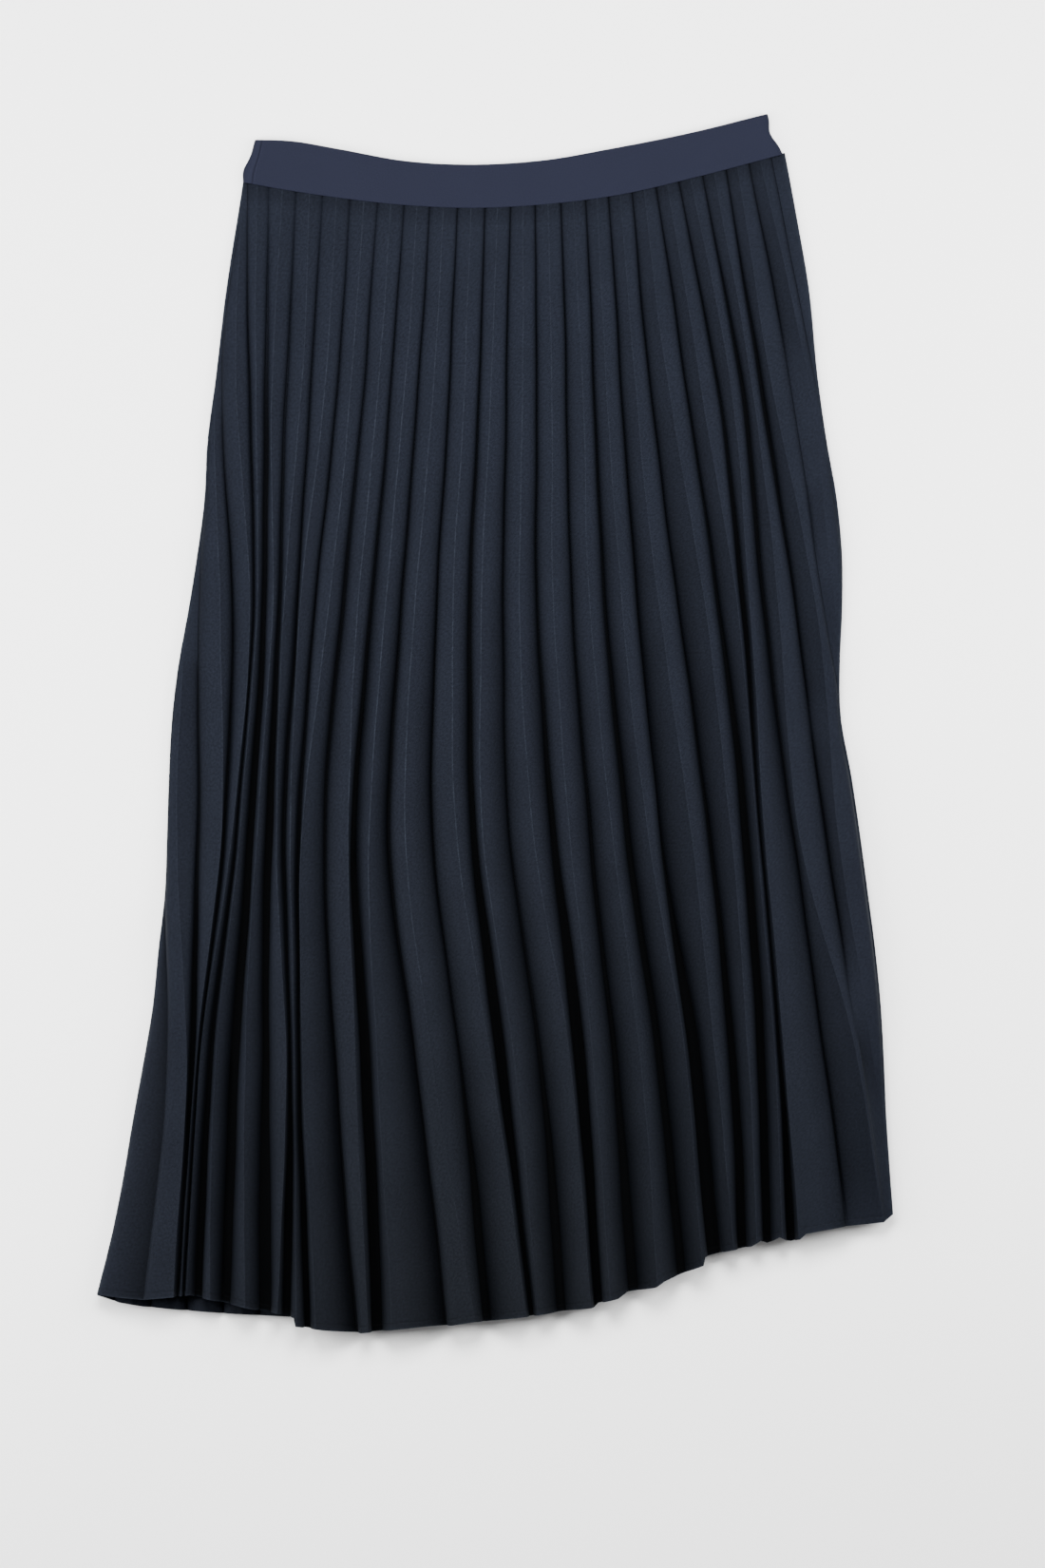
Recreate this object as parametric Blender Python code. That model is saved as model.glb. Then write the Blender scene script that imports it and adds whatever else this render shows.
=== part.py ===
"""Pleated skirt laid flat on its back, as three closed solids.

Metres, +Z up. X runs across the skirt, +Y runs up to the waist, the front
faces +Z. All sizes below are millimetres until the last step.

The front panel is a zigzag wall. At a height Y its knots are the folds of
VALLEYS and RIDGES, and a knot's height is
    z = lie(Y) + a * depth(Y)      for a ridge
    z = lie(Y)                     for a valley
where a fades to nothing as a fold runs out over the side of the skirt. The
bottom of a SHALLOW fold is raised to a share of its ridges' height.
The back panel is the same wall with even folds, flattened on the ground.
"""
import bpy
import numpy as np

for thing in list(bpy.data.objects):
    bpy.data.objects.remove(thing, do_unlink=True)

MM = 0.001

# Cloth, band and gaps
CLOTH = 1.2
BAND_WALL = 1.8
GAP = 0.4
SEAM_GAP = 0.5

# Cut width of one pleat face at the waist and at the hem
FACE_WAIST = 10.5
FACE_HEM = 36.0

# Height of the front's folds: at the seam, once clear of it, and at the hem
STITCHED_DEPTH = 1.6
FREE_DEPTH = 4.4
HEM_DEPTH = 17.0
# Height of the folds that lie underneath, at the same three places
UNDER_STITCHED = 1.0
UNDER_FREE = 2.6
UNDER_HEM = 8.0
# How far below the seam the stitching lets the folds rise
RELEASE = 90.0
# Fold height blends from what its faces allow to these heights with this power
BLEND = 4.0
# Widest half-fold counted, the half-fold taken at the two sides, and the least height squared
SPREAD_MOST = 30.0
SPREAD_SIDE = 12.0
LEAST_HEIGHT_SQUARED = 4.0

# Width of the pressed crease, its width where folds run out over the side, and
# the least space between two creases
CREASE = 1.6
SIDE_CREASE = 0.4
CREASE_SPACE = 0.2
# Folds nearer the side than this lose height, by this power
FADE = 16.0
FADE_POWER = 1.5
# Least share kept at a mitre, so that a sharp corner doesn't run away
MITRE_LEAST = 0.45

# Levels along the skirt, from the middle of its length
HIP, THIGH, KNEE, CALF = 241.0, 81.0, -79.0, -239.0
WAIST_MID = 372.0
HEM_MID = -405.0

# Middle of the outline, taken off at the end so it sits over the origin
MIDDLE_X = -1.8
MIDDLE_Y = 0.2

# Ends of the waist seam and of the hem
WAIST_LEFT, WAIST_RIGHT = -178.0, 203.0
HEM_LEFT, HEM_RIGHT = -282.3, 277.5
# The seam is followed as far as this to the right
SEAM_RIGHT = 200.0

BACK_PLEATS = 22
# Rows down each panel; the power sets them a little closer at the waist
ROWS_FRONT = 16
ROWS_BACK = 12
ROW_POWER = 0.93

# Waistband: opening of the loop, points along a run and round an end
BAND_INSIDE = 2.2
BAND_RUNS = 26
BAND_ENDS = 6

CLOTH_COLOUR = (0.022, 0.028, 0.042)
CLOTH_ROUGH = 0.85
BAND_COLOUR = (0.031, 0.039, 0.071)
BAND_ROUGH = 0.8

# Waistband stations: seam x, seam y, top x, top y
BAND = [
    (-178.5, 379.7, -170.8, 409.7),
    (-149.0, 374.3, -144.3, 408.7),
    (-115.7, 369.3, -112.3, 403.3),
    (-65.7, 363.7, -64.3, 394.7),
    (-15.7, 361.7, -16.3, 392.3),
    (34.3, 364.3, 32.3, 395.3),
    (84.3, 370.7, 79.0, 403.3),
    (141.0, 383.7, 134.3, 414.3),
    (200.5, 399.4, 189.7, 428.0),
]

# Sides of the skirt: y, left x, right x
SIDES = [
    (402.0, -176.0, 201.5),
    (379.7, -179.0, 205.7),
    (354.3, -183.0, 210.3),
    (307.7, -190.3, 218.3),
    (241.0, -198.3, 225.0),
    (194.3, -204.3, 231.7),
    (161.0, -205.7, 237.7),
    (114.3, -211.7, 242.0),
    (81.0, -217.0, 242.0),
    (41.0, -224.3, 240.3),
    (1.0, -229.0, 241.0),
    (-39.0, -231.0, 248.3),
    (-79.0, -232.3, 254.3),
    (-119.0, -233.7, 259.7),
    (-159.0, -238.3, 265.0),
    (-199.0, -242.3, 269.0),
    (-239.0, -249.0, 271.3),
    (-279.0, -256.3, 273.0),
    (-319.0, -263.0, 275.7),
    (-359.0, -271.0, 278.5),
    (-404.0, -282.3, 279.0),
]

# Front hem: x, y, with a step where one fold lies over the next
FRONT_HEM = [
    (-282.3, -401.0), (-265.7, -403.0), (-249.0, -404.3), (-227.0, -402.3),
    (-216.3, -401.0), (-201.7, -404.3), (-189.0, -407.0), (-172.3, -411.0),
    (-155.7, -413.7), (-143.0, -417.0), (-141.7, -423.0), (-122.3, -425.7),
    (-95.7, -427.7), (-82.3, -426.3), (-49.0, -423.0), (-32.3, -422.3),
    (-15.7, -419.7), (-7.7, -419.7), (24.3, -415.7), (51.0, -411.7),
    (68.3, -409.7), (69.7, -407.0), (84.3, -403.7), (91.0, -399.0),
    (111.0, -395.7), (117.7, -391.0), (132.3, -385.0), (144.3, -380.3),
    (145.7, -374.3), (157.7, -371.0), (177.7, -367.0), (184.3, -363.0),
    (189.7, -365.0), (197.7, -360.3), (204.3, -363.7), (213.0, -361.7),
    (214.3, -358.3), (244.3, -353.0), (271.0, -350.3), (278.3, -344.3),
]

# Back hem: x, y. It shows below the front's at the left
BACK_HEM = [
    (-283.0, -401.0), (-266.0, -407.0), (-249.0, -409.7), (-216.3, -412.5),
    (-189.0, -414.7), (-155.7, -416.3), (-122.3, -418.0), (-95.7, -420.0),
    (-49.0, -419.0), (-15.7, -416.0), (24.3, -412.0), (51.0, -408.0),
    (84.3, -400.0), (111.0, -392.0), (132.3, -381.0), (157.7, -367.0),
    (184.3, -359.0), (213.0, -355.0), (244.3, -350.0), (280.0, -343.0),
]

# Bottom of each fold, left to right: x at seam, hip, thigh, knee, calf, hem
VALLEYS = [
    (-192.3, -212.3, -223.7, -234.3, -232.3, -247.7),
    (-185.7, -201.0, -210.3, -210.3, -214.7, -225.3),
    (-182.3, -194.3, -186.5, -192.0, -210.2, -219.8),
    (-176.3, -174.7, -171.7, -183.3, -202.0, -209.7),
    (-161.0, -162.7, -163.7, -174.0, -184.3, -191.0),
    (-141.7, -148.0, -153.3, -161.0, -162.7, -164.0),
    (-123.0, -131.3, -140.0, -150.3, -145.3, -148.3),
    (-103.7, -112.3, -127.7, -139.7, -139.0, -133.5),
    (-84.3, -93.7, -109.0, -121.3, -114.0, -98.5),
    (-65.7, -74.3, -89.3, -100.7, -93.0, -84.0),
    (-47.7, -55.0, -67.7, -76.3, -57.0, -36.0),
    (-28.3, -33.3, -43.0, -45.0, -26.3, -7.3),
    (-9.0, -13.0, -19.0, -17.0, 3.0, 23.8),
    (9.0, 6.3, 3.7, 9.0, 30.0, 45.5),
    (26.3, 27.0, 28.3, 39.0, 58.3, 70.6),
    (44.3, 48.3, 52.3, 65.0, 82.7, 94.3),
    (61.7, 67.7, 75.3, 91.3, 114.0, 128.3),
    (77.7, 86.7, 98.0, 114.3, 139.0, 151.0),
    (94.3, 106.7, 126.3, 149.0, 165.0, 171.7),
    (111.0, 132.0, 155.0, 174.3, 185.3, 188.3),
    (127.0, 153.7, 172.3, 185.0, 198.3, 206.0),
    (143.7, 170.7, 187.0, 208.3, 229.7, 245.0),
    (160.3, 184.0, 209.0, 230.3, 255.0, 273.7),
    (176.3, 205.0, 229.7, 257.0, 274.3, 281.0),
    (192.3, 223.0, 246.3, 263.0, 281.0, 284.3),
]

# Top of the fold that follows each one above, at the same levels
RIDGES = [
    (-189.0, -206.3, -218.3, -225.5, -218.5, -227.0),
    (-183.7, -197.7, -195.0, -194.3, -211.4, -222.5),
    (-179.3, -183.7, -174.3, -186.0, -209.0, -218.0),
    (-169.0, -170.3, -169.0, -181.0, -198.3, -201.5),
    (-151.3, -158.3, -158.0, -169.3, -177.0, -178.0),
    (-132.3, -137.0, -150.3, -155.3, -148.0, -155.0),
    (-113.3, -121.0, -138.3, -145.7, -142.0, -141.0),
    (-94.0, -102.3, -119.0, -137.0, -137.0, -127.0),
    (-75.0, -83.7, -97.7, -105.0, -99.7, -90.5),
    (-56.7, -64.3, -79.0, -90.3, -84.3, -74.3),
    (-38.0, -45.0, -57.7, -65.0, -45.7, -15.7),
    (-18.7, -22.7, -31.7, -28.3, -4.3, 20.6),
    (0.0, -4.7, -11.0, -10.7, 12.5, 28.5),
    (17.7, 17.3, 15.7, 25.0, 51.3, 65.8),
    (35.3, 37.7, 39.7, 50.3, 67.5, 79.0),
    (53.0, 59.7, 64.3, 81.0, 100.3, 112.3),
    (69.7, 75.7, 87.7, 105.7, 132.0, 143.7),
    (86.0, 96.3, 113.7, 135.7, 153.7, 165.7),
    (102.7, 119.0, 145.7, 164.3, 175.7, 182.3),
    (119.0, 142.3, 168.3, 181.7, 195.0, 199.5),
    (135.3, 163.0, 177.5, 187.0, 201.7, 211.5),
    (152.0, 177.7, 197.7, 216.3, 253.0, 271.0),
    (168.3, 192.3, 226.3, 243.0, 264.3, 277.7),
    (184.3, 217.7, 237.7, 260.0, 277.7, 283.0),
]

# Folds whose bottom is only a shallow crease: which, its depth at hip, knee, calf and hem
SHALLOW = [
    (0, 0.4, 0.4, 0.35, 0.3),
    (21, 1.0, 0.8, 0.8, 0.7),
    (22, 1.0, 0.8, 0.05, 0.05),
    (23, 0.7, 0.3, 0.05, 0.05),
    (24, 0.5, 0.3, 0.05, 0.05),
]


def curve(stations, values, at):
    """Smooth curve through values at rising stations, held level beyond them.

    Each span is the cubic that meets both ends at the stations' mean slopes.
    """
    s = np.asarray(stations, float)
    v = np.asarray(values, float)
    slope = np.gradient(v, s)
    at = np.asarray(at, float)
    i = np.clip(np.searchsorted(s, at) - 1, 0, len(s) - 2)
    span = s[i + 1] - s[i]
    t = np.clip((at - s[i]) / span, 0.0, 1.0)
    rise = v[i + 1] - v[i]
    a = slope[i] * span
    b = slope[i + 1] * span
    return v[i] + a * t + (3 * rise - 2 * a - b) * t ** 2 + (a + b - 2 * rise) * t ** 3


def column(table, i):
    return [row[i] for row in table]


def seam_y(x):
    return curve(column(BAND, 0), column(BAND, 1), x)


def side_x(y, which):
    return curve([-row[0] for row in SIDES], column(SIDES, which), -np.asarray(y, float))


def hem_y(x, hem):
    """Straight between the hem's points."""
    return np.interp(x, column(hem, 0), column(hem, 1))


def ease(t):
    """Smooth step: three t squared less two t cubed."""
    t = np.clip(t, 0.0, 1.0)
    return t * t * (3.0 - 2.0 * t)


def run_down(y):
    """0 at the waist seam, 1 at the hem."""
    return np.clip((WAIST_MID - y) / (WAIST_MID - HEM_MID), 0.0, 1.0)


def rise(below_seam, y, stitched, free, hem):
    """Height of the folds, held low by the seam and growing to the hem."""
    opened = ease(below_seam / RELEASE)
    return (stitched + (free - stitched) * opened) * (1 - run_down(y)) + hem * run_down(y)


def under_height(below_seam, y):
    return rise(below_seam, y, UNDER_STITCHED, UNDER_FREE, UNDER_HEM)


def lie(below_seam, y):
    """Height of the front's valleys, just clear of the folds under them."""
    return CLOTH / 2 + under_height(below_seam, y) + CLOTH + GAP


def depth(below_seam, y, spread):
    """Height of a ridge: what its two faces allow, and no more than they lie."""
    face = FACE_WAIST + (FACE_HEM - FACE_WAIST) * run_down(y)
    free = np.sqrt(np.maximum(face ** 2 - spread ** 2, LEAST_HEIGHT_SQUARED))
    limit = rise(below_seam, y, STITCHED_DEPTH, FREE_DEPTH, HEM_DEPTH)
    return (free ** -BLEND + limit ** -BLEND) ** (-1.0 / BLEND)


def row_y(top, low, rows):
    """Heights of the rows of every column, from its top to its low end."""
    t = np.linspace(0.0, 1.0, rows) ** ROW_POWER
    return top[:, None] + (low - top)[:, None] * t


def below_seam(xs, ys):
    return seam_y(np.clip(xs, WAIST_LEFT, SEAM_RIGHT)) - ys


def front_section(rows):
    """Centre line of the front panel: x, y, z for each point and each row.

    A knot's x is its fold's curve down the skirt, kept inside the two sides
    and a step past its neighbour. One more knot ends the panel at each side.
    """
    folds = np.empty((len(VALLEYS) + len(RIDGES), 6))
    folds[0::2] = VALLEYS
    folds[1::2] = RIDGES
    count = len(folds) + 2
    start = np.concatenate([[WAIST_LEFT], folds[:, 0], [WAIST_RIGHT]])
    end = np.concatenate([[HEM_LEFT], folds[:, 5], [HEM_RIGHT]])
    top_y = seam_y(np.clip(start, WAIST_LEFT, WAIST_RIGHT)) - SEAM_GAP
    low_y = hem_y(np.clip(end, HEM_LEFT, HEM_RIGHT), FRONT_HEM)
    ys = row_y(top_y, low_y, rows)
    left = side_x(ys, 1)
    right = side_x(ys, 2)
    xs = np.empty_like(ys)
    xs[0] = left[0]
    xs[-1] = right[-1]
    for k, fold in enumerate(folds, start=1):
        levels = [-top_y[k], -HIP, -THIGH, -KNEE, -CALF, -low_y[k]]
        xs[k] = curve(levels, fold, -ys[k])
    fade = ease((xs - left) / FADE) * ease((right - xs) / FADE)
    fade[[0, -1]] = 0.0
    half = (SIDE_CREASE + (CREASE - SIDE_CREASE) * fade) / 2
    need = half + np.roll(half, 1, axis=0) + CREASE_SPACE
    rank = np.arange(count)[:, None] * (SIDE_CREASE + CREASE_SPACE)
    xs = np.clip(xs, left + rank, right - rank[::-1])
    for k in range(1, count):
        xs[k] = np.maximum(xs[k], xs[k - 1] + need[k])
    for k in range(count - 2, -1, -1):
        xs[k] = np.minimum(xs[k], xs[k + 1] - need[k + 1])
    below = below_seam(xs, ys)
    spread = np.full_like(xs, SPREAD_SIDE)
    spread[1:-1] = np.minimum(0.5 * (xs[2:] - xs[:-2]), SPREAD_MOST)
    share = np.zeros_like(xs)
    share[2:-2:2] = 1.0
    for fold, *depths in SHALLOW:
        k = 1 + 2 * fold
        share[k] = 1.0 - np.interp(-ys[k], [-HIP, -KNEE, -CALF, -HEM_MID], depths)
    zs = lie(below, ys) + share * fade ** FADE_POWER * depth(below, ys, spread)
    return creased(xs, ys, zs, half)


def creased(xs, ys, zs, half):
    """Give every fold but the two sides a narrow flat crease of two points."""
    px, py, pz = [xs[0]], [ys[0]], [zs[0]]
    for k in range(1, len(xs) - 1):
        for side in (-1.0, 1.0):
            px.append(xs[k] + side * half[k])
            py.append(ys[k])
            pz.append(zs[k])
    px.append(xs[-1])
    py.append(ys[-1])
    pz.append(zs[-1])
    return np.array(px), np.array(py), np.array(pz)


def back_section(rows):
    """Centre line of the back panel: even folds between the sides, on the ground."""
    count = 2 * BACK_PLEATS + 1
    top_y = seam_y(np.linspace(WAIST_LEFT + GAP, WAIST_RIGHT - GAP, count)) - SEAM_GAP
    low_y = hem_y(np.linspace(HEM_LEFT + GAP, HEM_RIGHT - GAP, count), BACK_HEM)
    ys = row_y(top_y, low_y, rows)
    left = side_x(ys, 1) + GAP
    right = side_x(ys, 2) - GAP
    xs = left + np.linspace(0.0, 1.0, count)[:, None] * (right - left)
    up = (np.arange(count) % 2 == 0)[:, None]
    zs = CLOTH / 2 + np.where(up, under_height(below_seam(xs, ys), ys), 0.0)
    half = np.full_like(xs, CREASE / 2)
    return creased(xs, ys, zs, half)


def offset(px, pz, distance):
    """Shift a row of points sideways by a distance, mitred at each corner."""
    dx = np.diff(px, axis=0)
    dz = np.diff(pz, axis=0)
    size = np.hypot(dx, dz)
    nx = -dz / size
    nz = dx / size
    ax = np.vstack([nx[:1], nx])
    az = np.vstack([nz[:1], nz])
    bx = np.vstack([nx, nx[-1:]])
    bz = np.vstack([nz, nz[-1:]])
    share = np.maximum(1.0 + ax * bx + az * bz, MITRE_LEAST)
    return px + distance * (ax + bx) / share, pz + distance * (az + bz) / share


def walled(name, px, py, pz, wall, colour, rough):
    """Closed wall of even thickness about a grid of centre points."""
    ux, uz = offset(px, pz, wall / 2)
    lx, lz = offset(px, pz, -wall / 2)
    points, rows = px.shape
    verts = [(ux[i, j], py[i, j], uz[i, j]) for i in range(points) for j in range(rows)]
    verts += [(lx[i, j], py[i, j], lz[i, j]) for i in range(points) for j in range(rows)]
    base = points * rows

    def at(i, j, under=0):
        return under * base + i * rows + j

    faces = []
    for i in range(points - 1):
        for j in range(rows - 1):
            quad = (at(i, j), at(i, j + 1), at(i + 1, j + 1), at(i + 1, j))
            faces.append((quad[0], quad[1], quad[2]))
            faces.append((quad[0], quad[2], quad[3]))
            low = [q + base for q in quad]
            faces.append((low[0], low[2], low[1]))
            faces.append((low[0], low[3], low[2]))
    for i in range(points - 1):
        faces.append((at(i, 0), at(i + 1, 0), at(i + 1, 0, 1), at(i, 0, 1)))
        end = rows - 1
        faces.append((at(i + 1, end), at(i, end), at(i, end, 1), at(i + 1, end, 1)))
    for j in range(rows - 1):
        faces.append((at(0, j + 1), at(0, j), at(0, j, 1), at(0, j + 1, 1)))
        far = points - 1
        faces.append((at(far, j), at(far, j + 1), at(far, j + 1, 1), at(far, j, 1)))
    return solid(name, verts, faces, colour, rough)


def solid(name, verts, faces, colour, rough):
    """Named object from millimetre points, with its own material."""
    shift = np.array([MIDDLE_X, MIDDLE_Y, 0.0])
    mesh = bpy.data.meshes.new(name)
    mesh.from_pydata([tuple((np.array(v) - shift) * MM) for v in verts], [], faces)
    mesh.validate()
    mesh.update()
    thing = bpy.data.objects.new(name, mesh)
    bpy.context.scene.collection.objects.link(thing)
    paint = bpy.data.materials.new(name)
    paint.use_nodes = True
    shader = paint.node_tree.nodes["Principled BSDF"]
    shader.inputs["Base Color"].default_value = (*colour, 1.0)
    shader.inputs["Roughness"].default_value = rough
    mesh.materials.append(paint)
    return thing


def band_ring():
    """Elastic band, a loop pressed flat: two straight runs and two round ends."""
    radius = (BAND_INSIDE + BAND_WALL) / 2
    seam = np.array([row[:2] for row in BAND])
    top = np.array([row[2:] for row in BAND])
    along = np.concatenate([[0.0], np.cumsum(np.hypot(*np.diff(seam, axis=0).T))])
    length = along[-1]
    first = radius + BAND_WALL / 2
    last = length - first
    middle = BAND_WALL + BAND_INSIDE / 2
    loop = []
    for s in np.linspace(first, last, BAND_RUNS):
        loop.append((s, middle + radius, 0.0, 1.0))
    for a in np.linspace(np.pi / 2, -np.pi / 2, BAND_ENDS + 1)[1:-1]:
        loop.append((last + radius * np.cos(a), middle + radius * np.sin(a), np.cos(a), np.sin(a)))
    for s in np.linspace(last, first, BAND_RUNS):
        loop.append((s, middle - radius, 0.0, -1.0))
    for a in np.linspace(-np.pi / 2, -1.5 * np.pi, BAND_ENDS + 1)[1:-1]:
        loop.append((first + radius * np.cos(a), middle + radius * np.sin(a), np.cos(a), np.sin(a)))

    def place(s, z, share):
        low = np.array([curve(along, seam[:, 0], s), curve(along, seam[:, 1], s)])
        high = np.array([curve(along, top[:, 0], s), curve(along, top[:, 1], s)])
        spot = low + (high - low) * share
        return (spot[0], spot[1], z)

    verts = []
    for s, z, out_s, out_z in loop:
        half = BAND_WALL / 2
        verts.append(place(s + out_s * half, z + out_z * half, 0.0))
        verts.append(place(s + out_s * half, z + out_z * half, 1.0))
        verts.append(place(s - out_s * half, z - out_z * half, 1.0))
        verts.append(place(s - out_s * half, z - out_z * half, 0.0))
    faces = []
    total = len(loop)
    for k in range(total):
        a = 4 * k
        b = 4 * ((k + 1) % total)
        for c in range(4):
            d = (c + 1) % 4
            faces.append((a + c, b + c, b + d, a + d))
    return solid("waistband", verts, faces, BAND_COLOUR, BAND_ROUGH)


band_ring()
walled("skirt_front", *front_section(ROWS_FRONT), CLOTH, CLOTH_COLOUR, CLOTH_ROUGH)
walled("skirt_back", *back_section(ROWS_BACK), CLOTH, CLOTH_COLOUR, CLOTH_ROUGH)
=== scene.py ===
"""Looks of a navy pleated midi skirt, laid flat on its back.

The front faces +Z, the waist is at +Y. Sizes are millimetres until a mesh is
made. Each cloth panel is a height field over the ground: a grid of columns
that follow the folds and rows that run from the waist seam to the hem.
"""

import bpy
import numpy as np
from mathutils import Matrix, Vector


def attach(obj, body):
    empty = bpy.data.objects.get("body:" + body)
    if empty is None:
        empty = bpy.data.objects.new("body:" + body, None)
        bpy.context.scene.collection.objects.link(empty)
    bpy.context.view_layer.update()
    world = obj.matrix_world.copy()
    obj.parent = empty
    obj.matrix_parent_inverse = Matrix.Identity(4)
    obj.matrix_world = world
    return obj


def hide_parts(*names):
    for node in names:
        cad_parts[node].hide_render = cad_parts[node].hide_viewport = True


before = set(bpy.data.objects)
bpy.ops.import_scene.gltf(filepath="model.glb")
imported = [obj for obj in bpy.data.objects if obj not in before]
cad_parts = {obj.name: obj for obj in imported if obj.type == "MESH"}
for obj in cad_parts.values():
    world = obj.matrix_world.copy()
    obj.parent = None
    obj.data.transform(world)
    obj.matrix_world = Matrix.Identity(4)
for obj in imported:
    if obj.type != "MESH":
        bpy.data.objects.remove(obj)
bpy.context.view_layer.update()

# Front panel. One piece of dark navy woven cloth, pressed into fanned pleats
# that are narrow at the waist and wide at the hem. It is sewn to the elastic
# at the top and has a narrow turned and stitched hem.

MM = 0.001
# Walls of the plain solid and of this finer cloth, and the space between pieces
CLOTH_SOLID = 1.2
CLOTH = 0.8
GAP = 0.4

# Width of a pleat's face at the waist and at the hem
FACE_WAIST, FACE_HEM = 10.5, 36.0
# Height of the front's folds at the seam, clear of it and at the hem, the same
# for the back's, and how far below the seam they are clear of it
STITCHED_DEPTH, FREE_DEPTH, HEM_DEPTH = 1.6, 4.4, 17.0
UNDER_STITCHED, UNDER_FREE, UNDER_HEM = 1.0, 2.6, 8.0
RELEASE = 90.0
# Least step from one fold to the next, and beside the sides, where the folds
# run out: how far in from a side they are full, and the power of their height
STEP, SIDE_STEP = 1.15, 0.34
FADE, FADE_POWER = 16.0, 1.5
# The folds' painted shade and crest highlight last nearer to the left side than their height does:
# none within the first distance, and full once the second is added
LEFT_CLEAR, LEFT_FADE = 1.5, 3.0
# How far below the seam the dark gaps are fully open, how much sooner the
# folds open at the right and how much later at the left, and where across the
# skirt the one turns to the other
GAP_OPENS = 190.0
OPEN_SOONER, OPEN_LATER = 60.0, 190.0
RIGHT_FROM, RIGHT_OVER = -100.0, 200.0
# How far the cloth is tucked up behind the elastic's lower edge
TUCK = 1.2
# A fold's height blends, with this power, between the heights above and what
# its faces allow: the most a face is spread, its spread at the sides, and the
# least height squared
BLEND = 4.0
SPREAD_MOST, SPREAD_SIDE = 30.0, 12.0
LEAST_HEIGHT_SQUARED = 4.0
# Waves that each fold sways in: length down the skirt, turns of its phase, and
# share; how far they reach sideways, and their share of a fold's height
SWAY_WAVES = ((61.0, 1.0, 1.0), (27.0, 2.3, 0.6), (13.0, 4.1, 0.35))
SWAY_SIDEWAYS, SWAY_UPWARD = 0.8, 0.06
SWAY_SEED = 7
# Levels along the skirt, and the ends of its waist and of its hem
HIP, THIGH, KNEE, CALF = 241.0, 81.0, -79.0, -239.0
WAIST_MID, HEM_MID = 372.0, -405.0
WAIST_LEFT, WAIST_RIGHT = -178.0, 203.0
HEM_LEFT, HEM_RIGHT = -282.3, 277.5
SEAM_RIGHT = 200.0
# Middle of the skirt's box, which is moved to the origin
MIDDLE = (-1.8, 0.2, 0.0)

# Waistband stations: seam x, seam y, top x, top y
BAND = np.array([
    (-178.5, 379.7, -170.8, 409.7),
    (-149.0, 374.3, -144.3, 408.7),
    (-115.7, 369.3, -112.3, 403.3),
    (-65.7, 363.7, -64.3, 394.7),
    (-15.7, 361.7, -16.3, 392.3),
    (34.3, 364.3, 32.3, 395.3),
    (84.3, 370.7, 79.0, 403.3),
    (141.0, 383.7, 134.3, 414.3),
    (200.5, 399.4, 189.7, 428.0),
])

# Sides of the skirt: y, left x, right x
SIDES = np.array([
    (402.0, -176.0, 201.5),
    (379.7, -179.0, 205.7),
    (354.3, -183.0, 210.3),
    (307.7, -190.3, 218.3),
    (241.0, -198.3, 225.0),
    (194.3, -204.3, 231.7),
    (161.0, -205.7, 237.7),
    (114.3, -211.7, 242.0),
    (81.0, -217.0, 242.0),
    (41.0, -224.3, 240.3),
    (1.0, -229.0, 241.0),
    (-39.0, -231.0, 248.3),
    (-79.0, -232.3, 254.3),
    (-119.0, -233.7, 259.7),
    (-159.0, -238.3, 265.0),
    (-199.0, -242.3, 269.0),
    (-239.0, -249.0, 271.3),
    (-279.0, -256.3, 273.0),
    (-319.0, -263.0, 275.7),
    (-359.0, -271.0, 278.5),
    (-404.0, -282.3, 279.0),
])

# Front hem: x, y, with a step where one fold lies over the next
FRONT_HEM = np.array([
    (-282.3, -401.0), (-265.7, -403.0), (-249.0, -404.3), (-227.0, -402.3),
    (-216.3, -401.0), (-201.7, -404.3), (-189.0, -407.0), (-172.3, -411.0),
    (-155.7, -413.7), (-143.0, -417.0), (-141.7, -423.0), (-122.3, -425.7),
    (-95.7, -427.7), (-82.3, -426.3), (-49.0, -423.0), (-32.3, -422.3),
    (-15.7, -419.7), (-7.7, -419.7), (24.3, -415.7), (51.0, -411.7),
    (68.3, -409.7), (69.7, -407.0), (84.3, -403.7), (91.0, -399.0),
    (111.0, -395.7), (117.7, -391.0), (132.3, -385.0), (144.3, -380.3),
    (145.7, -374.3), (157.7, -371.0), (177.7, -367.0), (184.3, -363.0),
    (189.7, -365.0), (197.7, -360.3), (204.3, -363.7), (213.0, -361.7),
    (214.3, -358.3), (244.3, -353.0), (271.0, -350.3), (278.3, -344.3),
])

# Back hem: x, y. It shows below the front's at the left
BACK_HEM = np.array([
    (-283.0, -401.0), (-266.0, -407.0), (-249.0, -409.7), (-216.3, -412.5),
    (-189.0, -414.7), (-155.7, -416.3), (-122.3, -418.0), (-95.7, -420.0),
    (-49.0, -419.0), (-15.7, -416.0), (24.3, -412.0), (51.0, -408.0),
    (84.3, -400.0), (111.0, -392.0), (132.3, -381.0), (157.7, -367.0),
    (184.3, -359.0), (213.0, -355.0), (244.3, -350.0), (280.0, -343.0),
])

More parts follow.
